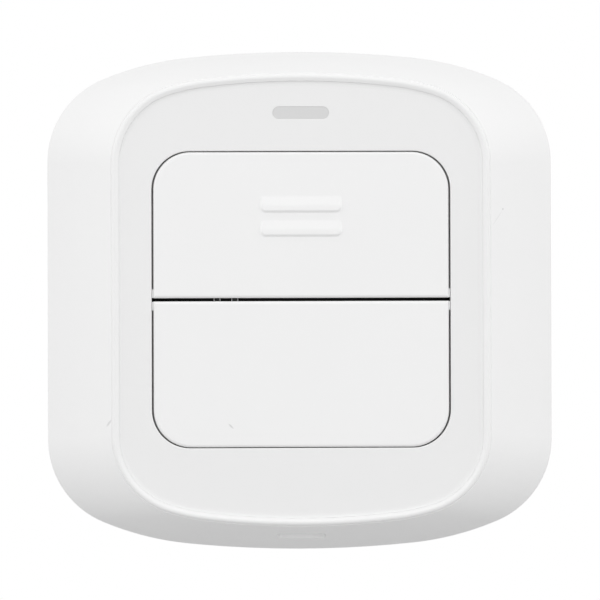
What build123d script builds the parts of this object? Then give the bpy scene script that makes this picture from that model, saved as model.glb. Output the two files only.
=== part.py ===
from build123d import *
import math
import os

# Battery-powered wireless wall switch with two push buttons, for two wall screws.
# The pieces are drawn with x to the right, y up the wall and z out from the wall, in millimetres.
# The finished pieces are turned upright: the wall is the plane y = 0, +Z is up and -Y faces the room.
# The origin is the middle of the wall base's back face.

# Outer frame
frame_width = 71.0
frame_height = 70.0
frame_corner_radius = 12.6
frame_shoulder_radius = 41.4
frame_crown_angle = 5.8
frame_shoulder_angle = 23.0
frame_wall = 1.6
frame_shoulder = 1.0         # inward step inside the skirt that rests on the wall base
skirt_foot = 0.4             # shadow gap between the skirt and the wall
skirt_height = 4.5
skirt_edge_radius = 0.8
slope_bulge = 0.25           # 0 is a straight slope, 0.25 a gently rounded one

# Raised rim round the face panel
side_slope = 9.03            # how far in the rim stands, at the sides
end_slope = 3.43             # the same, at the top and the bottom
rim_corner_radius = 11.2
rim_shoulder_radius = 30.0
rim_crown_angle = 6.8
rim_shoulder_angle = 17.3
rim_band = 1.16
rim_step = 0.5
rim_setback = 0.12
rim_outer_radius = 0.45
rim_inner_bevel = 0.45      # reach of the bevel that falls to the panel's edge
rim_bevel_radius = 0.3
collar_height = 1.8
collar_lip = 0.1             # the hollow behind the rim ends this far outside its opening
slope_steps = 3

# Tool notch in the bottom slope
notch_length = 6.8
notch_width = 1.85
notch_depth = 0.7            # straight up from the middle of its mouth
notch_corner_radius = 0.47
notch_share = 0.58           # its place on the slope, from the skirt (0) to the rim (1)

# Snap beads inside the skirt
bead_length = 10.0
bead_rise = 0.45
bead_half_height = 0.6
bead_height = 2.9
bead_clearance = 0.1
side_bead_offset = 12.5

# Wall base
base_floor = 1.8
base_wall = 1.2
base_gap = 0.15
base_wall_height = 2.4
wall_screw_inset = 3.75      # from the base's edge, which puts the screws 60 mm apart
wall_screw_hole = 4.2
wall_screw_head = 8.6        # gap left in the base's wall for a screw head
post_height = 2.2

# Button carrier
carrier_wall = 1.4
carrier_lift = 0.2           # wall base floor to the carrier's edge
carrier_gap = 0.1
deck_thickness = 1.0
deck_drop = 1.05             # panel underside to deck
column_radius = 3.25
column_merge = 0.3           # how far a column runs into the carrier's wall
post_margin = 0.3            # a post is this much slimmer than it must be to clear that wall
carrier_screw_diameter = 2.5
carrier_screw_length = 8.0
carrier_head_diameter = 4.2
carrier_head_height = 1.4
counterbore_depth = 1.6
window_width = 28.7
window_height = 17.0
middle_slot_height = 2.4

# Face panel
panel_gap = 0.015
panel_thickness = 1.6
panel_recess = 0.35          # rim top to panel face
panel_border = 0.65
panel_border_rise = 0.18
border_steps = 3
panel_edge_radius = 0.15
peg_diameter = 2.0
peg_spacing = 24.0
peg_length = 1.6

# Push buttons
pair_side_margin = 4.75      # panel edge to button edge, at the sides
pair_end_margin = 9.87       # the same, at the top and the bottom
pair_corner_radius = 5.2
side_gap = 0.25              # button to panel, at the sides
end_gap = 0.12               # the same, at the top and the bottom
middle_gap = 0.46
button_top = 1.5
button_wall = 1.2
button_skirt = 0.7
button_edge_radius = 0.4
rib_thickness = 0.8
rib_height = 0.45
rib_count = 4
nib_length = 1.2
nib_inset = 0.05
nib_rise = 0.2
nib_drop = 0.35
bar_length = 11.45
bar_width = 1.45
bar_rise = 0.2
bar_edge_radius = 0.45       # larger than the rise: a bar's sides never get upright
bar_root = 0.1               # how far a bar's foot runs on below the rounding
bar_pitch = 3.35
bar_inset = 9.31             # from the button's outer edge to midway between the bars

# Button hinges
hinge_inset = 4.0
hinge_drop = 2.45
pin_diameter = 1.6
pin_length = 2.4
arm_thickness = 1.6
arm_radius = 1.1
arm_inset = 5.3
arm_clearance = 0.4          # beside each hinge arm, in its opening
running_fit = 0.05
mouth_pinch = 0.15           # how much narrower each side of a bearing's mouth is than its bore
ear_thickness = 1.6
ear_half_length = 1.9
ear_rise = 0.95
ear_drop = 0.4
hinge_window = 1.7           # half its length along the wall

# Stop hooks at the free end of each button
hook_thickness = 1.2
hook_length = 2.4
hook_barb = 0.55
hook_barb_height = 0.5
hook_gap = 0.05
hook_start = 2.0

# Circuit board
board_thickness = 1.0
board_gap = 0.5
standoff_height = 1.2
standoff_diameter = 4.4
board_screw_inset = 4.1      # from the board's side edge
board_screw_spacing = 20.0
board_screw_diameter = 2.0
board_screw_grip = 1.8
board_head_diameter = 3.8
board_head_height = 1.2
hole_clearance = 0.15
thread_fit = 0.04
recess_turn = 20             # how far round the screwdriver left each cross recess
head_bevel_share = 0.3       # of the head's height
recess_depth_share = 0.6     # of the head's height
recess_reach_share = 0.3     # of the head's diameter
recess_slot_share = 0.12     # of the shank's diameter

# Push switches under the buttons, and the pairing switch behind the board
switch_offset = 4.0
switch_size = 5.2
switch_body_height = 1.2
switch_floor = 0.3
switch_bore = 3.9
switch_cover = 0.2
cover_leg = 0.6
cover_leg_share = 0.6        # of the switch's width
terminal_pitch = 3.1
terminal_reach = 0.7
terminal_width = 0.7
terminal_thickness = 0.15
plunger_diameter = 2.6
plunger_flange = 3.5
plunger_flange_height = 0.45
plunger_rise = 0.6
plunger_bevel = 0.2
plunger_fit = 0.05
press_gap = 0.03
boss_diameter = 3.2
boss_tip_diameter = 1.4
boss_tip_height = 0.3
dome_diameter = 3.4
dome_crown = 1.8
dome_rise = 0.15
dome_thickness = 0.06
pairing_inset = 7.6          # from the board's side edge
pairing_y = 4.0

# Status light
window_length = 7.84
window_breadth = 1.7
window_inset = 4.41          # from the panel's top edge
window_fit = 0.012
window_recess = 0.03
guide_flange = 0.8
guide_flange_height = 0.9
guide_stem_length = 5.0
guide_stem_width = 1.6
guide_air_gap = 0.1
led_length = 1.6
led_width = 0.8
led_height = 0.6

# Coin cell and its holder, behind the board
cell_diameter = 24.5
cell_thickness = 5.0
cell_clearance = 0.98        # wall base floor to cell
cell_cap_diameter = 20.5
cell_cap_height = 0.4
cell_edge = 0.5
cell_y = -10.5
holder_floor = 0.8
holder_gap = 0.15
holder_wall = 1.2
holder_depth = 3.6
holder_mouth = 5.0
contact_thickness = 0.2
contact_width = 4.0
contact_gap = 0.02
contact_length = 9.0
contact_foot = 2.6

# Parts soldered on the board
radio_y = 17.0
radio_width = 13.0
radio_height = 15.0
radio_thickness = 0.8
radio_pads = 6
radio_pad_pitch = 1.7
radio_pad_diameter = 0.8
shield_height = 9.5
shield_rise = 1.6
shield_wall = 0.15
shield_margin = 0.8
regulator_inset = 7.1        # from the board's side edge
regulator_y = 4.0
regulator_width = 1.6
regulator_length = 2.9
regulator_height = 1.0
regulator_standoff = 0.1
lead_pitch = 1.9
lead_reach = 0.6
lead_width = 0.4
lead_thickness = 0.2
capacitor_offset = 3.0       # from the regulator to the capacitor above and below it
crystal_x = 11.5
crystal_y = 14.0
crystal_length = 3.2
crystal_width = 2.5
crystal_base = 0.4
crystal_lid = 0.3
crystal_lid_inset = 0.2
resistor_left_x = -11.68
resistor_right_x = -9.2
chip_length = 1.0
chip_width = 0.5
chip_height = 0.35
chip_cap_length = 0.18
chip_cap_rise = 0.035


class Outline:
    """A soft square: straight sides, a gently crowned top and bottom, corners of three tangent arcs."""

    def __init__(self, half_width, half_height, corner, shoulder, crown_angle, shoulder_angle):
        self.half_width = half_width
        self.half_height = half_height
        self.corner = corner
        self.shoulder = shoulder
        self.crown_angle = crown_angle
        self.shoulder_angle = shoulder_angle

    def sizes(self):
        return (
            self.half_width,
            self.half_height,
            self.corner,
            self.shoulder,
            self.crown_angle,
            self.shoulder_angle,
        )

    def inset(self, distance):
        """The parallel outline that lies a distance inside this one."""
        return Outline(
            self.half_width - distance,
            self.half_height - distance,
            self.corner - distance,
            self.shoulder - distance,
            self.crown_angle,
            self.shoulder_angle,
        )

    def between(self, other, share):
        """The outline part of the way from this one to another."""
        pairs = zip(self.sizes(), other.sizes())
        return Outline(*[mine + (theirs - mine) * share for mine, theirs in pairs])

    def arc_centres(self):
        """The crown arc's radius, and the centres of the shoulder arc and of the corner arc."""
        sin_crown = math.sin(math.radians(self.crown_angle))
        cos_crown = math.cos(math.radians(self.crown_angle))
        sin_shoulder = math.sin(math.radians(self.shoulder_angle))
        cos_shoulder = math.cos(math.radians(self.shoulder_angle))
        shoulder_reach = self.shoulder * (sin_shoulder - sin_crown)
        corner_reach = self.corner * (1 - sin_shoulder)
        crown = (self.half_width - shoulder_reach - corner_reach) / sin_crown
        shoulder_x = (crown - self.shoulder) * sin_crown
        shoulder_y = self.half_height - crown + (crown - self.shoulder) * cos_crown
        corner_x = shoulder_x + (self.shoulder - self.corner) * sin_shoulder
        corner_y = shoulder_y + (self.shoulder - self.corner) * cos_shoulder
        return crown, (shoulder_x, shoulder_y), (corner_x, corner_y)

    def corner_spot(self, distance):
        """A spot on the corner's diagonal, a distance inside the corner arc."""
        centre = self.arc_centres()[2]
        reach = (self.corner - distance) * math.sqrt(0.5)
        return centre[0] + reach, centre[1] + reach

    def face(self, level):
        """The flat face inside the outline, at a level above the wall."""
        crown, shoulder_centre, corner_centre = self.arc_centres()

        def on_arc(centre, radius, angle):
            turn = math.radians(angle)
            return centre[0] + radius * math.sin(turn), centre[1] + radius * math.cos(turn)

        shoulder_middle = (self.crown_angle + self.shoulder_angle) / 2
        corner_middle = (self.shoulder_angle + 90) / 2
        arcs = [
            (
                on_arc(shoulder_centre, self.shoulder, self.crown_angle),
                on_arc(shoulder_centre, self.shoulder, shoulder_middle),
                on_arc(shoulder_centre, self.shoulder, self.shoulder_angle),
            ),
            (
                on_arc(corner_centre, self.corner, self.shoulder_angle),
                on_arc(corner_centre, self.corner, corner_middle),
                on_arc(corner_centre, self.corner, 90),
            ),
        ]

        def turned_over(points, x_sign, y_sign):
            return [(x * x_sign, y * y_sign) for x, y in points]

        crown_end = arcs[0][0]
        crown_arc = [(-crown_end[0], crown_end[1]), (0, self.half_height), crown_end]
        side_top = arcs[1][2]
        edges = [ThreePointArc(*crown_arc)]
        edges += [ThreePointArc(*arc) for arc in arcs]
        edges.append(Line(side_top, (side_top[0], -side_top[1])))
        edges += [ThreePointArc(*turned_over(arc[::-1], 1, -1)) for arc in arcs[::-1]]
        edges.append(ThreePointArc(*turned_over(crown_arc[::-1], 1, -1)))
        edges += [ThreePointArc(*turned_over(arc, -1, -1)) for arc in arcs]
        edges.append(Line((-side_top[0], -side_top[1]), (-side_top[0], side_top[1])))
        edges += [ThreePointArc(*turned_over(arc[::-1], -1, 1)) for arc in arcs[::-1]]
        return Pos(0, 0, level) * Face(Wire(edges))

    def slab(self, low, high):
        """The outline as a solid between two levels."""
        return extrude(self.face(low), high - low, dir=(0, 0, 1))


# Levels above the wall, stacked from the wall base out to the rim
floor_top = base_floor
base_wall_top = floor_top + base_wall_height
post_top = floor_top + post_height
cell_back = floor_top + cell_clearance
cell_front = cell_back + cell_thickness
holder_face = cell_front + contact_gap + contact_thickness
board_back = holder_face + holder_floor
board_face = board_back + board_thickness
deck_back = board_face + standoff_height
deck_top = deck_back + deck_thickness
panel_back = deck_top + deck_drop
panel_face = panel_back + panel_thickness
rim_top = panel_face + panel_recess
rim_foot = rim_top - rim_step
skirt_top = skirt_foot + skirt_height
collar_back = rim_top - collar_height
hinge_level = panel_face - hinge_drop
button_back = panel_face - button_top
skirt_level = button_back - button_skirt
switch_top = board_face + switch_body_height + switch_cover
plunger_top = switch_top + plunger_rise

# Outlines, one inside the other
frame_outline = Outline(
    frame_width / 2,
    frame_height / 2,
    frame_corner_radius,
    frame_shoulder_radius,
    frame_crown_angle,
    frame_shoulder_angle,
)
rim_outline = Outline(
    frame_width / 2 - side_slope,
    frame_height / 2 - end_slope,
    rim_corner_radius,
    rim_shoulder_radius,
    rim_crown_angle,
    rim_shoulder_angle,
)
rim_opening = rim_outline.inset(rim_band)
panel_outline = rim_opening.inset(panel_gap)
carrier_outline = panel_outline.inset(carrier_gap)
carrier_inside = carrier_outline.inset(carrier_wall)
board_outline = carrier_inside.inset(board_gap)
base_outline = frame_outline.inset(frame_wall + base_gap)

# Sizes and places along the wall
pair_width = 2 * (panel_outline.half_width - pair_side_margin)
pair_height = 2 * (panel_outline.half_height - pair_end_margin)
window_centre = panel_outline.half_height - window_inset
flange_length = window_length + 2 * guide_flange
flange_breadth = window_breadth + 2 * guide_flange
hinge_y = pair_height / 2 - hinge_inset
arm_side = pair_width / 2 - arm_inset
column_x, column_y = carrier_inside.corner_spot(column_radius - column_merge)
columns = [(x, y) for x in (-column_x, column_x) for y in (-column_y, column_y)]
board_screw_x = board_outline.half_width - board_screw_inset
board_screw_y = board_screw_spacing / 2
board_fixings = [(x, y) for x in (-board_screw_x, board_screw_x) for y in (-board_screw_y, board_screw_y)]
peg_y = (pair_height / 2 + end_gap + panel_outline.half_height) / 2
pegs = [(x, y) for x in (-peg_spacing / 2, peg_spacing / 2) for y in (-peg_y, peg_y)]
pairing_x = pairing_inset - board_outline.half_width
regulator_x = board_outline.half_width - regulator_inset


def block(x_limits, y_limits, z_limits):
    """A rectangular block between two limits along each axis."""
    limits = (x_limits, y_limits, z_limits)
    lengths = [high - low for low, high in limits]
    middle = [(high + low) / 2 for low, high in limits]
    return Pos(*middle) * Box(*lengths)


def rod(place, diameter, low, high):
    """A round rod that stands out from the wall, between two levels."""
    return Pos(place[0], place[1], (low + high) / 2) * Cylinder(diameter / 2, high - low)


def level_edges(solid, level):
    """The edges that lie all along one level."""
    hair = 0.001
    return solid.edges().filter_by(Plane.XY).filter_by_position(Axis.Z, level - hair, level + hair)


def lies_on(outline, edge):
    """Whether an edge runs along an outline, seen from the front."""
    middle = edge.position_at(0.5)
    boundary = outline.face(middle.Z).outer_wire()
    hair = 0.01
    return boundary.distance_to(Vertex(middle.X, middle.Y, middle.Z)) < hair


def around(middle, half):
    """The limits of a length that is centred on a place."""
    return middle - half, middle + half


def slope_section(share):
    """The frame's outline at a share of the way from the skirt up to the rim's foot."""
    level = skirt_top + (rim_foot - skirt_top) * share * (1 + slope_bulge * (1 - share))
    return frame_outline.between(rim_outline, share).face(level)


def snap_bead(turn, distance, offset, clearance):
    """A ridge inside the skirt, of triangular section, or the groove that takes it."""
    rise = bead_rise + clearance
    half = bead_half_height + clearance
    profile = Polygon(
        (base_wall, bead_height - half - base_wall),
        (-rise, bead_height),
        (base_wall, bead_height + half + base_wall),
        align=None,
    )
    length = bead_length + 2 * clearance
    ridge = extrude(Plane.YZ * profile, length / 2, both=True)
    return Rot(0, 0, turn) * Pos(offset, distance, 0) * ridge


def snap_beads(clearance):
    """One bead at the top and the bottom of the skirt, and two on each side."""
    inside = frame_outline.inset(frame_wall)
    beads = [snap_bead(turn, inside.half_height, 0, clearance) for turn in (0, 180)]
    for turn in (90, 270):
        for offset in (-side_bead_offset, side_bead_offset):
            beads.append(snap_bead(turn, inside.half_width, offset, clearance))
    return beads


def tool_notch():
    """A pocket cut straight up into the bottom slope, its back wall square to the room."""
    section = slope_section(notch_share)
    outline = RectangleRounded(notch_length, notch_width, notch_corner_radius)
    mouth = Plane.XZ * Pos(0, section.center().Z) * outline
    roof = section.bounding_box().min.Y + notch_depth
    return Pos(0, roof, 0) * extrude(mouth, notch_depth + frame_wall)


def outer_frame():
    """The moulded frame: a low skirt, four rounded slopes and a thin raised rim."""
    skirt = frame_outline.slab(skirt_foot, skirt_top)
    slope = loft([slope_section(step / slope_steps) for step in range(slope_steps + 1)])
    crest = rim_outline.inset(rim_setback).slab(rim_foot - rim_step, rim_top)
    crest = fillet(level_edges(crest, rim_top), rim_outer_radius)
    shell = skirt + slope + crest
    shell = fillet(level_edges(shell, skirt_top), skirt_edge_radius)
    seat = frame_outline.inset(frame_wall).slab(0, base_wall_top)
    wide = frame_outline.inset(frame_wall + frame_shoulder).face(base_wall_top)
    narrow = rim_opening.inset(-collar_lip).face(collar_back)
    hollow = loft([wide, narrow], ruled=True)
    shell = shell - seat - hollow - rim_opening.slab(0, rim_top)
    bevel_top = rim_opening.inset(-rim_inner_bevel)
    shell -= loft([rim_opening.face(panel_face + panel_border_rise), bevel_top.face(rim_top)], ruled=True)
    inner_edges = [edge for edge in level_edges(shell, rim_top) if lies_on(bevel_top, edge)]
    shell = fillet(inner_edges, rim_bevel_radius)
    for bead in snap_beads(0):
        shell += bead & (frame_outline.inset(frame_wall / 2).slab(skirt_foot, base_wall_top))
    return shell - tool_notch()


def wall_base():
    """The plate on the wall: two screw holes, four posts, and a low wall that the frame snaps over."""
    floor = base_outline.slab(0, floor_top)
    wall = base_outline.slab(floor_top, base_wall_top) - base_outline.inset(base_wall).slab(0, base_wall_top)
    half_head = wall_screw_head / 2
    wall -= block((-frame_width, frame_width), (-half_head, half_head), (floor_top, base_wall_top))
    for bead in snap_beads(bead_clearance):
        wall -= bead
    base = floor + wall
    for place in columns:
        base += rod(place, 2 * (column_radius - column_merge - post_margin), floor_top, post_top)
    for place in columns:
        pilot = carrier_screw_diameter + 2 * thread_fit
        base -= rod(place, pilot, base_floor / 2, post_top)
    for side in (-1, 1):
        screw_x = side * (base_outline.half_width - wall_screw_inset)
        base -= rod((screw_x, 0), wall_screw_hole, 0, floor_top)
    return base


def hinge_openings():
    """The openings in the deck that the two hinge arms of the upper button reach into."""
    outer = arm_side + pin_length + arm_clearance
    inner = arm_side - arm_thickness - arm_clearance
    half = hinge_window
    return [
        block(limits, around(hinge_y, half), (deck_back, deck_top))
        for limits in ((inner, outer), (-outer, -inner))
    ]


def hinge_ears():
    """The two bearing blocks of the upper button, each with an open, round-bottomed notch."""
    fit = pin_diameter + 2 * running_fit
    low = deck_back - ear_drop
    high = deck_top + ear_rise
    inner = arm_side + arm_clearance
    outer = inner + ear_thickness
    ears = []
    for limits in ((inner, outer), (-outer, -inner)):
        ear = block(limits, around(hinge_y, ear_half_length), (low, high))
        middle = sum(limits) / 2
        bore = Pos(middle, hinge_y, hinge_level) * Rot(0, 90, 0) * Cylinder(fit / 2, ear_thickness)
        mouth = block(limits, around(hinge_y, fit / 2 - mouth_pinch), (hinge_level, high))
        ears.append(ear - bore - mouth)
    return ears


def lower_twin(solid):
    """The same thing for the lower button."""
    return mirror(solid, about=Plane.XZ)


def button_carrier():
    """The inner chassis: an open-backed box with a deck, hinge bearings and screw columns."""
    wall_low = floor_top + carrier_lift
    carrier = carrier_outline.slab(wall_low, panel_back) - carrier_inside.slab(wall_low, panel_back)
    carrier += carrier_inside.slab(deck_back, deck_top)
    for place in columns:
        carrier += rod(place, 2 * column_radius, post_top, deck_top)
    for place in board_fixings:
        carrier += rod(place, standoff_diameter, board_face, deck_back)
    half_window = window_width / 2
    carrier -= block(around(0, half_window), around(0, window_height / 2), (deck_back, deck_top))
    half_slot = pair_width / 2 + side_gap
    carrier -= block(around(0, half_slot), around(0, middle_slot_height / 2), (deck_back, deck_top))
    for opening in hinge_openings():
        carrier = carrier - opening - lower_twin(opening)
    for ear in hinge_ears():
        carrier = carrier + ear + lower_twin(ear)
    for place in columns:
        carrier -= rod(place, carrier_screw_diameter + 2 * hole_clearance, post_top, deck_top)
        bore = carrier_head_diameter + 2 * hole_clearance
        carrier -= rod(place, bore, deck_top - counterbore_depth, deck_top)
    for place in board_fixings:
        pilot = board_screw_diameter + 2 * thread_fit
        carrier -= rod(place, pilot, board_face, board_face + board_screw_grip + hole_clearance)
    for place in pegs:
        carrier -= rod(place, peg_diameter + 2 * thread_fit, deck_back, deck_top)
    stem = SlotOverall(guide_stem_length + 2 * hole_clearance, guide_stem_width + 2 * hole_clearance)
    carrier -= extrude(Pos(0, window_centre, deck_back) * stem, deck_thickness)
    flange = SlotOverall(flange_length + 2 * hole_clearance, flange_breadth + 2 * hole_clearance)
    return carrier - extrude(Pos(0, window_centre, deck_top) * flange, deck_drop)


def face_panel():
    """The inset panel: an upturned border, the opening for the buttons and the status window."""
    panel = panel_outline.slab(panel_back, panel_face + panel_border_rise)
    sections = []
    for step in range(border_steps + 1):
        turn = math.radians(90 * step / border_steps)
        inset = panel_border * (1 - math.sin(turn)) + panel_gap
        level = panel_face + panel_border_rise * (1 - math.cos(turn))
        sections.append(panel_outline.inset(inset).face(level))
    panel -= loft(sections, ruled=True)
    opening_width = pair_width + 2 * side_gap
    opening_height = pair_height + 2 * end_gap
    opening = RectangleRounded(opening_width, opening_height, pair_corner_radius + end_gap)
    hole = extrude(Pos(0, 0, panel_back) * opening, panel_thickness)
    panel -= hole
    window = SlotOverall(window_length + 2 * window_fit, window_breadth + 2 * window_fit)
    panel -= extrude(Pos(0, window_centre, panel_back) * window, panel_thickness)
    rounded = [edge for edge in level_edges(panel, panel_face) if edge.length < pair_height]
    rounded = [edge for edge in rounded if abs(edge.center().X) < (opening_width + side_gap) / 2]
    rounded = [edge for edge in rounded if abs(edge.center().Y) < (opening_height + end_gap) / 2]
    panel = fillet(rounded, panel_edge_radius)
    for place in pegs:
        panel += rod(place, peg_diameter, panel_back - peg_length, panel_back)
    return panel


def hinge_arm(side):
    """An arm under the button with a pin that turns in the carrier's bearing."""
    outer = side * arm_side
    inner = side * (arm_side - arm_thickness)
    limits = (min(inner, outer), max(inner, outer))
    arm = block(limits, around(hinge_y, arm_radius), (hinge_level, button_back))
    middle = sum(limits) / 2
    arm += Pos(middle, hinge_y, hinge_level) * Rot(0, 90, 0) * Cylinder(arm_radius, arm_thickness)
    tip = side * (arm_side + pin_length / 2)
    return arm + Pos(tip, hinge_y, hinge_level) * Rot(0, 90, 0) * Cylinder(pin_diameter / 2, pin_length)


def stop_hook(side):
    """A leg at the free end whose barb catches under the deck and stops the button at rest."""
    edge = side * (window_width / 2)
    near = edge - side * (hook_barb + hook_gap * 2)
    far = near - side * hook_thickness
    leg_limits = (min(near, far), max(near, far))
    barb_end = edge + side * hook_barb
    barb_limits = (min(far, barb_end), max(far, barb_end))
    foot = deck_back - hook_gap - hook_barb_height
    y_limits = (hook_start, hook_start + hook_length)
    leg = block(leg_limits, y_limits, (foot, button_back))
    return leg + block(barb_limits, y_limits, (foot, deck_back - hook_gap))


def plain_button():
    """A hollow cap with ribs, a boss over the switch, hinge arms, stop hooks and side nibs."""
    half_gap = middle_gap / 2
    half_width = pair_width / 2
    pair = RectangleRounded(pair_width, pair_height, pair_corner_radius)
    upper_half = Pos(0, pair_height / 4 + half_gap) * Rectangle(pair_width, pair_height / 2)
    cap = extrude(Pos(0, 0, skirt_level) * (pair & upper_half), panel_face - skirt_level)
    cap = fillet(level_edges(cap, panel_face), button_edge_radius)
    inner_pair = RectangleRounded(
        pair_width - 2 * button_wall, pair_height - 2 * button_wall, pair_corner_radius - button_wall
    )
    inner_half = Pos(0, pair_height / 4 + half_gap + button_wall) * Rectangle(pair_width, pair_height / 2)
    cap -= extrude(Pos(0, 0, skirt_level) * (inner_pair & inner_half), button_skirt)
    rib_limits = (half_gap, pair_height / 2 - button_wall / 2)
    rib_pitch = 2 * arm_side / (rib_count + 1)
    for number in range(rib_count):
        rib_x = (number - (rib_count - 1) / 2) * rib_pitch
        rib = block(around(rib_x, rib_thickness / 2), rib_limits, (button_back - rib_height, button_back))
        cap += rib
    tip_level = plunger_top + press_gap
    cap += rod((0, switch_offset), boss_diameter, tip_level + boss_tip_height, button_back)
    cap += rod((0, switch_offset), boss_tip_diameter, tip_level, button_back)
    nib_low = half_gap + nib_inset
    for side in (-1, 1):
        cap += hinge_arm(side)
        cap += stop_hook(side)
        root = side * (half_width - button_wall / 2)
        tip = side * (half_width + nib_rise)
        nib_limits = (min(root, tip), max(root, tip))
        cap += block(nib_limits, (nib_low, nib_low + nib_length), (skirt_level, panel_face - nib_drop))
    return cap


def tactile_bar():
    """A long low bar with round ends, its edge rounded down to the button's face."""
    foot = bar_rise - bar_edge_radius - bar_root
    bar = extrude(Pos(0, 0, foot) * SlotOverall(bar_length, bar_width), bar_rise - foot)
    return fillet(level_edges(bar, bar_rise), bar_edge_radius)


def upper_button():
    """The upper button, with two low tactile bars across its middle."""
    button = plain_button()
    for number in (-1, 1):
        button += Pos(0, pair_height / 2 - bar_inset + number * bar_pitch / 2, panel_face) * tactile_bar()
    return button


def lower_button():
    """The lower button, plain."""
    return lower_twin(plain_button())


def circuit_board():
    """The board, shaped to the carrier, with notches round the screw columns."""
    board = board_outline.slab(board_back, board_face)
    for place in columns:
        board -= rod(place, 2 * (column_radius + board_gap), board_back, board_face)
    for place in board_fixings:
        board -= rod(place, board_screw_diameter + 2 * hole_clearance, board_back, board_face)
    return board


def pan_screw(place, diameter, length, head_diameter, head_height, seat, outward):
    """A pan-head screw with a cross recess; its head is on the outward side of the seat."""
    shank = rod((0, 0), diameter, -length, 0)
    head = rod((0, 0), head_diameter, 0, head_height)
    head = chamfer(level_edges(head, head_height), head_height * head_bevel_share)
    recess_depth = head_height * recess_depth_share
    arm = head_diameter * recess_reach_share
    slot = diameter * recess_slot_share
    recess_limits = (head_height - recess_depth, head_height)
    head -= block(around(0, arm), around(0, slot), recess_limits)
    head -= block(around(0, slot), around(0, arm), recess_limits)
    turn = 0 if outward > 0 else 180
    return Pos(place[0], place[1], seat) * Rot(turn, 0, 0) * Rot(0, 0, recess_turn) * (head + shank)


def carrier_screws():
    """Four screws that hold the carrier on the wall base's posts."""
    seat = deck_top - counterbore_depth
    return [
        pan_screw(
            place,
            carrier_screw_diameter,
            carrier_screw_length,
            carrier_head_diameter,
            carrier_head_height,
            seat,
            1,
        )
        for place in columns
    ]


def board_screws():
    """Four screws through the board into the carrier's standoffs."""
    length = board_thickness + board_screw_grip
    return [
        pan_screw(
            place,
            board_screw_diameter,
            length,
            board_head_diameter,
            board_head_height,
            board_back,
            -1,
        )
        for place in board_fixings
    ]


def switch_parts():
    """A push switch that stands on level 0: its body, snap dome, plunger and metal cover."""
    half = switch_size / 2
    top = switch_body_height
    body = block((-half, half), (-half, half), (0, top)) - rod((0, 0), switch_bore, switch_floor, top)
    for side in (-1, 1):
        x_limits = sorted((side * (half - terminal_thickness), side * (half + terminal_reach)))
        for y in (-terminal_pitch / 2, terminal_pitch / 2):
            body += block(x_limits, around(y, terminal_width / 2), (0, terminal_thickness))
    dome = Pos(0, 0, switch_floor + dome_rise / 2) * Cone(dome_diameter / 2, dome_crown / 2, dome_rise)
    hollow_rise = dome_rise - dome_thickness
    hollow_foot = dome_diameter / 2 - dome_thickness
    hollow_crown = dome_crown / 2 - dome_thickness
    dome -= Pos(0, 0, switch_floor + hollow_rise / 2) * Cone(hollow_foot, hollow_crown, hollow_rise)
    flange_top = top - plunger_fit
    plunger = rod((0, 0), plunger_flange, flange_top - plunger_flange_height, flange_top)
    plunger_end = top + switch_cover + plunger_rise
    plunger += rod((0, 0), plunger_diameter, flange_top, plunger_end)
    plunger = chamfer(level_edges(plunger, plunger_end), plunger_bevel)
    cover = block((-half, half), (-half, half), (top, top + switch_cover))
    cover -= rod((0, 0), plunger_diameter + 2 * plunger_fit, top, top + switch_cover)
    for side in (-1, 1):
        y_limits = sorted((side * half, side * (half + switch_cover)))
        cover += block(around(0, half * cover_leg_share), y_limits, (top - cover_leg, top + switch_cover))
    return {"body": body, "dome": dome, "plunger": plunger, "cover": cover}


def placed_switch(name, place, level, outward):
    """The four pieces of one switch, on the board's front (1) or back (-1)."""
    turn = 0 if outward > 0 else 180
    seat = Pos(place[0], place[1], level) * Rot(turn, 0, 0)
    return {f"{name}_switch_{piece}": seat * solid for piece, solid in switch_parts().items()}


def light_guide():
    """A translucent bar: its head fills the window, its stem ends just above the lamp."""
    head = extrude(
        Pos(0, window_centre, panel_back) * SlotOverall(window_length, window_breadth),
        panel_thickness - window_recess,
    )
    flange_low = panel_back - guide_flange_height
    flange = extrude(
        Pos(0, window_centre, flange_low) * SlotOverall(flange_length, flange_breadth),
        guide_flange_height,
    )
    stem_low = board_face + led_height + guide_air_gap
    stem = extrude(
        Pos(0, window_centre, stem_low) * SlotOverall(guide_stem_length, guide_stem_width),
        flange_low - stem_low,
    )
    return head + flange + stem


def coin_cell():
    """A coin cell: a can with a rolled edge and a smaller cap that faces the board."""
    can_top = cell_front - cell_cap_height
    can = rod((0, cell_y), cell_diameter, cell_back, can_top)
    can = chamfer(level_edges(can, cell_back), cell_edge)
    can = chamfer(level_edges(can, can_top), cell_edge)
    return can + rod((0, cell_y), cell_cap_diameter, can_top, cell_front)


def battery_holder():
    """A round tray on the board's back, cut away for the two contacts."""
    inner = cell_diameter + 2 * holder_gap
    outer = inner + 2 * holder_wall
    place = (0, cell_y)
    tray = rod(place, outer, holder_face - holder_depth, board_back)
    tray -= rod(place, inner, holder_face - holder_depth, holder_face)
    mouth_limits = (inner / 2 - holder_wall, outer / 2 + holder_wall)
    y_limits = around(cell_y, holder_mouth / 2)
    tray -= block(mouth_limits, y_limits, (holder_face - holder_depth, board_back))
    thumb_limits = (-outer / 2 - holder_wall, -inner / 4)
    thumb = block(thumb_limits, around(cell_y, cell_diameter / 4), (holder_face - holder_depth, holder_face))
    return tray - thumb


def battery_positive_contact():
    """A bent strip: a foot on the board and a leaf beside the cell's can."""
    near = cell_diameter / 2 + contact_gap
    y_limits = around(cell_y, contact_width / 2)
    leaf_low = holder_face - holder_depth
    leaf = block((near, near + contact_thickness), y_limits, (leaf_low, board_back))
    foot = block((near, near + contact_foot), y_limits, (board_back - contact_thickness, board_back))
    return leaf + foot


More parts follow.
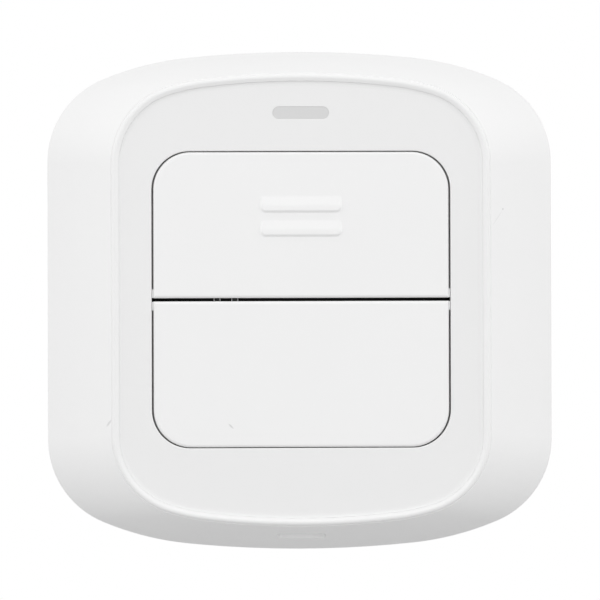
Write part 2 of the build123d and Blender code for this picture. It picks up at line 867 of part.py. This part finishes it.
def battery_negative_contact():
    """A leaf in the holder's floor under the cell's cap."""
    leaf = SlotOverall(contact_length, contact_width)
    return extrude(Pos(0, cell_y, holder_face - contact_thickness) * leaf, contact_thickness)


def radio_board():
    """The radio module's own small board, with half-round contacts down its sides."""
    half_width = radio_width / 2
    half_height = radio_height / 2
    low = board_back - radio_thickness
    board = block(around(0, half_width), around(radio_y, half_height), (low, board_back))
    for number in range(radio_pads):
        y = radio_y - half_height + (number + 1) * radio_pad_pitch
        for side in (-1, 1):
            board -= rod((side * half_width, y), radio_pad_diameter, low, board_back)
    return board


def radio_shield():
    """The metal can over the radio chip: a drawn lid, open towards its board."""
    half_width = radio_width / 2 - shield_margin
    y_low = radio_y - radio_height / 2 + shield_margin
    y_limits = (y_low, y_low + shield_height)
    high = board_back - radio_thickness
    lid = block(around(0, half_width), y_limits, (high - shield_rise, high))
    inner_limits = (y_low + shield_wall, y_low + shield_height - shield_wall)
    lid -= block(around(0, half_width - shield_wall), inner_limits, (high - shield_rise + shield_wall, high))
    return lid


def voltage_regulator():
    """A small moulded chip with three gull-wing leads."""
    half = regulator_width / 2
    high = board_back - regulator_standoff
    body = block(
        around(regulator_x, half), around(regulator_y, regulator_length / 2), (high - regulator_height, high)
    )
    for side, offset in ((-1, lead_pitch / 2), (-1, -lead_pitch / 2), (1, 0)):
        root = regulator_x + side * (half - lead_thickness)
        tip = regulator_x + side * (half + lead_reach)
        y_limits = around(regulator_y + offset, lead_width / 2)
        body += block(sorted((root, tip)), y_limits, (board_back - lead_thickness, board_back))
    return body


def crystal():
    """A quartz crystal in a flat metal-lidded package."""
    half_length = crystal_length / 2
    half_width = crystal_width / 2
    low = board_back - crystal_base
    base = block(around(crystal_x, half_length), around(crystal_y, half_width), (low, board_back))
    x_limits = around(crystal_x, half_length - crystal_lid_inset)
    y_limits = around(crystal_y, half_width - crystal_lid_inset)
    return base + block(x_limits, y_limits, (low - crystal_lid, low))


def chip(place, low, turn=0):
    """A small two-ended chip part: a body between two slightly thicker end caps."""
    body = block(around(0, chip_length / 2), around(0, chip_width / 2), (0, chip_height))
    half_waist = chip_length / 2 - chip_cap_length
    body -= block(around(0, half_waist), around(0, chip_width), (chip_height - chip_cap_rise, chip_height))
    return Pos(place[0], place[1], low) * Rot(0, 0, turn) * body


pieces = {
    "wall_base": wall_base(),
    "outer_frame": outer_frame(),
    "face_panel": face_panel(),
    "button_carrier": button_carrier(),
    "upper_button": upper_button(),
    "lower_button": lower_button(),
    "light_guide": light_guide(),
    "circuit_board": circuit_board(),
    "carrier_screws": Compound([screw.solid() for screw in carrier_screws()]),
    "board_screws": Compound([screw.solid() for screw in board_screws()]),
    "coin_cell": coin_cell(),
    "battery_holder": battery_holder(),
    "battery_positive_contact": battery_positive_contact(),
    "battery_negative_contact": battery_negative_contact(),
    "radio_board": radio_board(),
    "radio_shield": radio_shield(),
    "voltage_regulator": voltage_regulator(),
    "crystal": crystal(),
    "left_chip_resistor": chip((resistor_left_x, 0), board_face),
    "right_chip_resistor": chip((resistor_right_x, 0), board_face),
    "radio_capacitor": chip((radio_width / 2 + 2 * chip_length, radio_y), board_back - chip_height, 90),
    "regulator_capacitor": chip((regulator_x, regulator_y + capacitor_offset), board_back - chip_height),
    "battery_capacitor": chip((regulator_x, regulator_y - capacitor_offset), board_back - chip_height),
    "indicator_led": block(
        around(0, led_length / 2), around(window_centre, led_width / 2), (board_face, board_face + led_height)
    ),
}
pieces.update(placed_switch("upper", (0, switch_offset), board_face, 1))
pieces.update(placed_switch("lower", (0, -switch_offset), board_face, 1))
pieces.update(placed_switch("pairing", (pairing_x, pairing_y), board_back, -1))

os.makedirs("parts", exist_ok=True)
for name, piece in pieces.items():
    export_step(Rot(90, 0, 0) * piece, f"parts/{name}.step")
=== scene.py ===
import math

import bmesh
import bpy
from mathutils import Matrix, Vector


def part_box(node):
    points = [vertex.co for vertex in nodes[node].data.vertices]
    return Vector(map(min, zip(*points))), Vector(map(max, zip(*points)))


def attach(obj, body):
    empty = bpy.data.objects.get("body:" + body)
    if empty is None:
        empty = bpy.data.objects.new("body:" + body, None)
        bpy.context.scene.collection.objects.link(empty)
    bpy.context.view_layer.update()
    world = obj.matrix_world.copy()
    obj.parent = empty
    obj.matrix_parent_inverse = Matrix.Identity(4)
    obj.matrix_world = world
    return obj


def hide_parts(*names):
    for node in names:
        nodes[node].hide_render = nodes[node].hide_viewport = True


# A white wall switch with two push buttons, seen square-on in a pale studio.
# The wall is the plane y = 0, +Z is up the wall and -Y faces the room, in metres.

MM = 0.001

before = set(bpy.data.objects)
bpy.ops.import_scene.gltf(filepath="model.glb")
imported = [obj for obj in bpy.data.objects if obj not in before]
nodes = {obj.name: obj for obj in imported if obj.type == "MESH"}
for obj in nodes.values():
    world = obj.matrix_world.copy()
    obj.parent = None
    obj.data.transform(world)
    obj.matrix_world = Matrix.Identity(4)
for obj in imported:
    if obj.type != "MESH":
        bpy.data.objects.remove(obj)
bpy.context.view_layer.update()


def linear(code):
    """The linear colour that an sRGB hex code stands for."""
    values = [int(code[place:place + 2], 16) / 255 for place in (1, 3, 5)]
    values = [v / 12.92 if v <= 0.04045 else ((v + 0.055) / 1.055) ** 2.4 for v in values]
    return (*values, 1.0)


def add(tree, kind, settings=None, inputs=None):
    """Adds a node with its settings; each input is a value or another node's output."""
    made = tree.nodes.new(kind)
    for name, value in (settings or {}).items():
        setattr(made, name, value)
    for name, value in (inputs or {}).items():
        if isinstance(value, bpy.types.NodeSocket):
            tree.links.new(value, made.inputs[name])
        else:
            made.inputs[name].default_value = value
    return made


def empty_material(name):
    """A material with no nodes yet, and its tree."""
    material = bpy.data.materials.new(name)
    material.use_nodes = True
    material.node_tree.nodes.clear()
    return material, material.node_tree


# Octaves of noise: few where a colour drifts, more in the grain of a mould and a plating's clouds
drift_detail = 2.0
grain_detail = 3.0
plating_detail = 4.0


def cloud(tree, size, detail):
    """Soft noise whose blotches are a size in millimetres."""
    place = add(tree, "ShaderNodeTexCoord").outputs["Object"]
    inputs = {"Vector": place, "Scale": 1 / (size * MM), "Detail": detail}
    return add(tree, "ShaderNodeTexNoise", inputs=inputs).outputs["Fac"]


# A Mix node has an input named A for each kind of data, so a share and two colours go by number
mix_share, mix_first, mix_second, mix_result = 0, 6, 7, 2


def clouded(tree, light, dark, size, detail):
    """A colour that drifts between a light and a dark one, in blotches of a size in millimetres."""
    inputs = {
        mix_share: cloud(tree, size, detail),
        mix_first: linear(light),
        mix_second: linear(dark),
    }
    return add(tree, "ShaderNodeMix", {"data_type": "RGBA"}, inputs).outputs[mix_result]


# How much of a scratch, from its middle out, is marked in full; the rest fades to its edge
scuff_core = 0.3


def scuffed(tree, colour, centre, turn, length, width, shade):
    """A colour with a short scratch of another shade, placed across the front in millimetres."""
    place = add(tree, "ShaderNodeTexCoord").outputs["Object"]
    inputs = {
        "Vector": place,
        "Location": (centre[0] * MM, 0, centre[1] * MM),
        "Rotation": (0, math.radians(-turn), 0),
        "Scale": (length / 2 * MM, 1, width / 2 * MM),
    }
    local = add(tree, "ShaderNodeMapping", {"vector_type": "TEXTURE"}, inputs).outputs["Vector"]
    reach = add(tree, "ShaderNodeVectorMath", {"operation": "LENGTH"}, {0: local}).outputs["Value"]
    inputs = {"Value": reach, "From Min": 1.0, "From Max": scuff_core, "To Min": 0.0, "To Max": 1.0}
    mark = add(tree, "ShaderNodeMapRange", {"interpolation_type": "SMOOTHSTEP"}, inputs)
    inputs = {mix_share: mark.outputs["Result"], mix_first: colour, mix_second: linear(shade)}
    return add(tree, "ShaderNodeMix", {"data_type": "RGBA"}, inputs).outputs[mix_result]


def finish_surface(tree, colour, height, depth, values):
    """The shader itself: a colour, a relief of a depth in millimetres, and fixed values."""
    relief = {"Height": height, "Strength": 1.0, "Distance": depth * MM}
    bump = add(tree, "ShaderNodeBump", inputs=relief)
    inputs = {"Base Color": colour, "Normal": bump.outputs["Normal"], **values}
    shader = add(tree, "ShaderNodeBsdfPrincipled", inputs=inputs)
    add(tree, "ShaderNodeOutputMaterial", inputs={"Surface": shader.outputs["BSDF"]})


# Size of the colour's drift in millimetres: wide in a moulding, close in a plating
moulding_drift = 18.0
plating_drift = 2.5


def moulded(name, light, dark, roughness, grain, depth, ior=1.55, scuffs=()):
    """A moulded plastic: an even colour with its scratches, and the grain of the mould's steel.

    The grain's size and depth are in millimetres.
    """
    material, tree = empty_material(name)
    colour = clouded(tree, light, dark, moulding_drift, drift_detail)
    for scratch in scuffs:
        colour = scuffed(tree, colour, **scratch)
    values = {"Roughness": roughness, "IOR": ior}
    finish_surface(tree, colour, cloud(tree, grain, grain_detail), depth, values)
    return material


def metal(name, light, dark, roughness, grain, depth):
    """A plated or rolled metal: its colour clouds a little, and its relief is a fine grain.

    The grain's size and depth are in millimetres.
    """
    material, tree = empty_material(name)
    colour = clouded(tree, light, dark, plating_drift, plating_detail)
    values = {"Metallic": 1.0, "Roughness": roughness}
    finish_surface(tree, colour, cloud(tree, grain, grain_detail), depth, values)
    return material


# The scratches: centres, lengths and widths in millimetres, turned in degrees from level
slope_scuff = dict(centre=(-26.77, -17.13), turn=54.0, length=1.5, width=0.42, shade="#DADADA")
button_scuff = dict(centre=(-9.8, -17.6), turn=-45.0, length=1.25, width=0.34, shade="#D8D8D8")
# A hairline on the right slope, drawn as wide as it needs to show, with a nick at its upper end
slope_hairline = dict(centre=(27.4, 11.3), turn=56.0, length=3.4, width=0.2, shade="#E8E8E8")
slope_nick = dict(centre=(28.2, 12.55), turn=80.0, length=0.42, width=0.26, shade="#D2D2D2")
frame_scuffs = [slope_scuff, slope_hairline, slope_nick]

# PC/ABS, injection moulded in a finely eroded tool: a satin white with soft, broad highlights
frame_white = moulded(
    "moulded_pc_abs_frame", "#F1F1F1", "#EFEFEF",
    roughness=0.55, grain=0.14, depth=0.002, scuffs=frame_scuffs,
)
panel_white = moulded(
    "moulded_pc_abs_panel", "#EEEEEE", "#ECECEC", roughness=0.6, grain=0.12, depth=0.002
)
button_white = moulded(
    "moulded_pc_abs_buttons", "#F3F3F3", "#F1F1F1",
    roughness=0.6, grain=0.12, depth=0.002, scuffs=[button_scuff],
)
# ABS, injection moulded and left plain inside: a duller, slightly warmer white
inner_white = moulded(
    "moulded_abs_inside", "#E6E5E2", "#E2E1DE", roughness=0.55, grain=0.2, depth=0.004
)
# Acrylic with a diffusing pigment, moulded: an even light grey, smoother than the panel
window_grey = moulded(
    "moulded_frosted_acrylic", "#D6D6D6", "#D3D3D3",
    roughness=0.45, grain=0.1, depth=0.001, ior=1.49,
)
# Nylon with glass fibre, moulded: a matt black with a dry grain
nylon_black = moulded(
    "moulded_glass_nylon", "#212123", "#1B1B1D", roughness=0.6, grain=0.25, depth=0.006
)
# Nylon without glass, moulded: a mid grey, smoother and a little waxy
nylon_grey = moulded(
    "moulded_grey_nylon", "#9A9A98", "#929290", roughness=0.5, grain=0.2, depth=0.004
)
# Epoxy moulding compound, transfer moulded: the dullest black
epoxy_black = moulded(
    "moulded_epoxy", "#1D1D1E", "#171718", roughness=0.65, grain=0.08, depth=0.003
)
# Glass-epoxy laminate under a printed and baked solder mask: the glass cloth shows through it as
# a fine relief. The black mask is matt and the green one has a gloss.
mask_black = moulded(
    "solder_mask_black", "#0E0E0F", "#0A0A0B", roughness=0.6, grain=0.35, depth=0.003, ior=1.4
)
mask_green = moulded(
    "solder_mask_green", "#1E4A33", "#18402B", roughness=0.3, grain=0.35, depth=0.003
)
# Resistor film, printed and fired: a glassy black
film_black = moulded(
    "fired_resistor_film", "#1A1A1B", "#141415", roughness=0.4, grain=0.05, depth=0.002
)
# Alumina and dielectric ceramic, fired: dull and fine-grained
alumina_white = moulded(
    "fired_alumina", "#E4E3DE", "#DCDBD6", roughness=0.5, grain=0.05, depth=0.002
)
ceramic_tan = moulded(
    "fired_ceramic", "#8C7864", "#84705C", roughness=0.5, grain=0.05, depth=0.002
)
# Clear resin filled with phosphor, cast: an opaque pale yellow with a soft gloss
led_yellow = moulded(
    "led_phosphor_resin", "#E2D9A8", "#DAD09C", roughness=0.35, grain=0.06, depth=0.001
)
# Steel, zinc plated: a cool grey mirror that the plating's grain blurs
zinc_steel = metal(
    "zinc_plated_steel", "#C9CBCE", "#B9BBC0", roughness=0.32, grain=0.08, depth=0.001
)
# Steel, nickel plated: a warmer and clearer mirror
nickel_steel = metal(
    "nickel_plated_steel", "#CFCBC2", "#C4C0B7", roughness=0.22, grain=0.1, depth=0.0005
)
# Steel sheet and bronze strip, tinned and stamped: soft mirrors, the bronze a little warmer
tin_steel = metal(
    "tinned_steel_sheet", "#CBCBCA", "#BDBDBC", roughness=0.35, grain=0.15, depth=0.001
)
tin_bronze = metal(
    "tinned_bronze_strip", "#CDC8BF", "#BFB9AF", roughness=0.3, grain=0.1, depth=0.001
)
# Spring steel, rolled to a foil: a smooth and slightly darker mirror
spring_steel = metal(
    "rolled_spring_steel", "#BDBDBE", "#B0B0B1", roughness=0.25, grain=0.1, depth=0.0005
)
# Solder, melted on the chips' ends and set: the palest metal, with a satin sheen
solder_tin = metal(
    "solder_tin", "#EEEEEE", "#E4E4E5", roughness=0.45, grain=0.1, depth=0.002
)

finishes = {
    "outer_frame": frame_white,
    "face_panel": panel_white,
    "upper_button": button_white,
    "lower_button": button_white,
    "light_guide": window_grey,
    "wall_base": inner_white,
    "button_carrier": inner_white,
    "circuit_board": mask_black,
    "carrier_screws": zinc_steel,
    "board_screws": zinc_steel,
    "coin_cell": nickel_steel,
    "battery_holder": nylon_black,
    "battery_positive_contact": tin_bronze,
    "battery_negative_contact": tin_bronze,
    "radio_board": mask_green,
    "radio_shield": tin_steel,
    "voltage_regulator": epoxy_black,
    "crystal": tin_steel,
    "indicator_led": led_yellow,
}
for switch in ("upper", "lower", "pairing"):
    finishes[f"{switch}_switch_body"] = nylon_black
    finishes[f"{switch}_switch_dome"] = spring_steel
    finishes[f"{switch}_switch_plunger"] = nylon_grey
    finishes[f"{switch}_switch_cover"] = tin_steel

for name, material in finishes.items():
    nodes[name].data.materials.clear()
    nodes[name].data.materials.append(material)


def in_scene(name, data):
    """A mesh, lamp or camera as an object of the scene."""
    made = bpy.data.objects.new(name, data)
    bpy.context.scene.collection.objects.link(made)
    return made


def as_piece(name, mesh, materials):
    """An object from a mesh that was drawn in millimetres."""
    bmesh.ops.scale(mesh, vec=(MM, MM, MM), verts=mesh.verts)
    data = bpy.data.meshes.new(name)
    mesh.to_mesh(data)
    mesh.free()
    for material in materials:
        data.materials.append(material)
    return in_scene(name, data)


# A soldered chip, in millimetres
cap_length = 0.18
cap_radius = 0.03
# The caps wrap round the body, and so stand this far proud of it
cap_skin = 0.03
body_radius = 0.012
film_rise = 0.01
film_radius = 0.008
# Each rounded edge is a quarter circle, whose profile Blender calls 0.5, of this many flats
edge_flats = 3
round_profile = 0.5
# The places of its materials
body_place, cap_place, film_place = 0, 1, 2


def rounded_block(mesh, low, high, radius, material_place):
    """Adds a block with rounded edges between two corners, in millimetres, to a mesh."""
    middle = (Vector(low) + Vector(high)) / 2
    shape = Matrix.Translation(middle) @ Matrix.Diagonal((*(Vector(high) - Vector(low)), 1.0))
    corners = bmesh.ops.create_cube(mesh, size=1.0, matrix=shape)["verts"]
    edges = list({edge for corner in corners for edge in corner.link_edges})
    made = bmesh.ops.bevel(
        mesh, geom=edges, offset=radius, segments=edge_flats, profile=round_profile, affect="EDGES"
    )
    faces = {face for corner in made["verts"] for face in corner.link_faces}
    for face in faces.union(made["faces"]):
        face.material_index = material_place


def soldered_chip(node, body_finish, film=None):
    """A small chip part: a fired body, its film, and a tinned cap wrapped round each end."""
    low, high = [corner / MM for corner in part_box(node)]
    size = high - low
    # Its caps are at the ends of its longer side, X or Z
    along = 0 if size.x > size.z else 2
    inset = Vector((cap_skin, cap_skin, cap_skin))
    body_low, body_high = low + inset, high - inset
    mesh = bmesh.new()
    rounded_block(mesh, body_low, body_high, body_radius, body_place)
    near, far = high.copy(), low.copy()
    near[along] = low[along] + cap_length
    far[along] = high[along] - cap_length
    rounded_block(mesh, low, near, cap_radius, cap_place)
    rounded_block(mesh, far, high, cap_radius, cap_place)
    materials = [body_finish, solder_tin]
    if film:
        film_low, film_high = body_low.copy(), body_high.copy()
        film_low[along] = near[along]
        film_high[along] = far[along]
        film_low.y -= film_rise
        film_high.y = film_low.y + cap_skin
        rounded_block(mesh, film_low, film_high, film_radius, film_place)
        materials.append(film)
    for face in mesh.faces:
        face.smooth = True
    piece = as_piece(f"{node}_soldered", mesh, materials)
    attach(piece, "root")
    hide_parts(node)


for name in ("left_chip_resistor", "right_chip_resistor"):
    soldered_chip(name, alumina_white, film_black)
for name in ("radio_capacitor", "regulator_capacitor", "battery_capacitor"):
    soldered_chip(name, ceramic_tan)


# The tactile bars, in millimetres: soft wedges, each with a long ramp from its crest up the button
# and a short side below. They stand over the solid's plain round bars and enclose them.
# From the button's outer edge to midway between the bars
bar_middle = 9.31
bar_pitch = 3.35
bar_crest = 9.8
crest_rise = 0.225
# Half the width of the crest's top, and how far its side then takes to fall to the button's face
bar_crown = 0.46
bar_side = 0.39
# Length of the ramp, and the share of it that is rounded off at each of its ends
bar_ramp = 1.7
ramp_softness = 0.22
# The solid's own bars stand this far out of the button's face
plain_bar_rise = 0.2
# Round its edge a wedge dips this far under the button's face, and so shows no step
edge_dip = 0.003
# Each wedge is closed this far under the face
bar_root = 0.05
# Rows and columns of faces over the parts of a bar
end_columns = 16
crest_columns = 12
side_rows = 16
ramp_rows = 24


def ramp_height(place):
    """Falls from 1 to 0 as a place goes from 0 to 1: straight, with a soft start and end."""
    slope = 1 / (1 - ramp_softness)
    if place < ramp_softness:
        return 1 - slope * place ** 2 / (2 * ramp_softness)
    if place > 1 - ramp_softness:
        return slope * (1 - place) ** 2 / (2 * ramp_softness)
    return 1 - slope * (place - ramp_softness / 2)


def bar_rise(along, up):
    """How far a bar stands out of the face, at a place measured from the middle of its crest."""
    end = max(0.0, abs(along) - bar_crest / 2)
    reach = end if up > 0 else math.hypot(end, up)
    share = min(1.0, max(0.0, reach - bar_crown) / bar_side)
    height = crest_rise * (1 + math.cos(math.pi * share)) / 2
    if up > 0:
        height *= ramp_height(up / bar_ramp)
    return height - edge_dip


def stations(first, last, steps):
    """Evenly spaced places from a first to a last, without the last."""
    return [first + (last - first) * step / steps for step in range(steps)]


def tactile_bars():
    """Both bars of the upper button, each a grid that follows its rise, closed under the face."""
    low, high = [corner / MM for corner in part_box("upper_button")]
    face = low.y + plain_bar_rise
    foot = bar_crown + bar_side
    half = bar_crest / 2
    tip = half + foot
    columns = stations(-tip, -half, end_columns) + stations(-half, half, crest_columns)
    columns += stations(half, tip, end_columns) + [tip]
    rows = stations(-foot, 0, side_rows) + stations(0, bar_ramp, ramp_rows) + [bar_ramp]
    mesh = bmesh.new()
    bases = []
    for side in (-0.5, 0.5):
        crest = high.z - bar_middle + side * bar_pitch
        grid = []
        for up in rows:
            grid.append([mesh.verts.new((x, face - bar_rise(x, up), crest + up)) for x in columns])
        for lower, upper in zip(grid, grid[1:]):
            for place in range(len(columns) - 1):
                after = place + 1
                mesh.faces.new((lower[place], lower[after], upper[after], upper[place]))
        right_edge = [row[-1] for row in grid[1:-1]]
        left_edge = [row[0] for row in grid[-2:0:-1]]
        rim = grid[0] + right_edge + grid[-1][::-1] + left_edge
        root = [mesh.verts.new((dot.co.x, face + bar_root, dot.co.z)) for dot in rim]
        for place, dot in enumerate(rim):
            after = (place + 1) % len(rim)
            mesh.faces.new((dot, root[place], root[after], rim[after]))
        bases.append(mesh.faces.new(root[::-1]))
    bmesh.ops.recalc_face_normals(mesh, faces=mesh.faces)
    for surface in mesh.faces:
        surface.smooth = surface not in bases
    piece = as_piece("upper_button_bars", mesh, [button_white])
    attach(piece, "upper_button")


tactile_bars()

# The floor, in metres: half its side, and its level under the middle of the switch
floor_reach = 0.3
floor_level = -0.1
# Its paint, in millimetres: the drift of its colour, and the size and depth of its grain
paint_drift = 60.0
paint_grain = 0.8
paint_depth = 0.01


def table_top():
    """The pale studio floor that the switch floats above."""
    sides = ((-1, -1), (1, -1), (1, 1), (-1, 1))
    corners = [(x * floor_reach, y * floor_reach, floor_level) for x, y in sides]
    mesh = bpy.data.meshes.new("studio_floor")
    mesh.from_pydata(corners, [], [(0, 1, 2, 3)])
    floor = in_scene("studio_floor", mesh)
    # Board, painted with a roller: a dull pale grey with a soft grain
    material, tree = empty_material("painted_board_floor")
    colour = clouded(tree, "#D0D0D0", "#CCCCCC", paint_drift, drift_detail)
    relief = cloud(tree, paint_grain, drift_detail)
    finish_surface(tree, colour, relief, paint_depth, {"Roughness": 0.8})
    floor.data.materials.append(material)


# What the white room gives to the object, and how it shows to the camera and in reflections
room_strength = 0.566
backdrop_strength = 1.0
# Each lamp's name, its place and side in metres, and its power in watts
lamps = (
    ("key_lamp", (0.0, -0.5, 0.75), 1.3, 2.37),
    ("front_lamp", (0.0, -1.0, 0.02), 0.25, 0.85),
    ("left_lamp", (-0.72, -0.3, 0.3), 0.5, 2.05),
    ("right_lamp", (0.72, -0.3, 0.3), 0.5, 2.05),
)


def looking(direction):
    """The turn of a lamp or a camera that looks in a direction."""
    return direction.to_track_quat("-Z", "Y").to_matrix().to_4x4()


def studio_light():
    """An even white room with a wide lamp above, a small one in front and one at each side."""
    world = bpy.data.worlds.new("studio_room")
    bpy.context.scene.world = world
    world.use_nodes = True
    tree = world.node_tree
    tree.nodes.clear()
    rays = add(tree, "ShaderNodeLightPath").outputs
    either = {"operation": "MAXIMUM"}
    inputs = {0: rays["Is Camera Ray"], 1: rays["Is Glossy Ray"]}
    seen = add(tree, "ShaderNodeMath", either, inputs)
    inputs = {0: seen.outputs[0], 1: rays["Is Transmission Ray"]}
    shown = add(tree, "ShaderNodeMath", either, inputs)
    white = linear("#FFFFFF")
    inputs = {"Color": white, "Strength": room_strength}
    room = add(tree, "ShaderNodeBackground", inputs=inputs)
    inputs = {"Color": white, "Strength": backdrop_strength}
    backdrop = add(tree, "ShaderNodeBackground", inputs=inputs)
    inputs = {0: shown.outputs[0], 1: room.outputs[0], 2: backdrop.outputs[0]}
    mix = add(tree, "ShaderNodeMixShader", inputs=inputs)
    add(tree, "ShaderNodeOutputWorld", inputs={"Surface": mix.outputs[0]})
    for name, place, side, power in lamps:
        lamp = bpy.data.lights.new(name, "AREA")
        lamp.shape = "SQUARE"
        lamp.size = side
        lamp.energy = power
        holder = in_scene(name, lamp)
        holder.matrix_world = Matrix.Translation(place) @ looking(-Vector(place))


def photo_camera():
    """A long lens almost square-on: a little from the left and below, and rolled a touch."""
    azimuth = math.radians(-1.2)
    elevation = math.radians(-0.6)
    roll = math.radians(-0.17)
    distance = 0.701
    target = Vector((0.00003, -0.0049, 0.000024))
    level = math.cos(elevation)
    away = Vector((math.sin(azimuth) * level, -math.cos(azimuth) * level, math.sin(elevation)))
    camera = bpy.data.cameras.new("photo_camera")
    camera.sensor_width = 36.0
    camera.lens = 298.4
    camera.clip_start = 0.01
    camera.clip_end = 20.0
    holder = in_scene("photo_camera", camera)
    turn = looking(-away) @ Matrix.Rotation(roll, 4, "Z")
    holder.matrix_world = Matrix.Translation(target + distance * away) @ turn
    bpy.context.scene.camera = holder


table_top()
studio_light()
photo_camera()
bpy.context.scene.view_settings.view_transform = "Standard"
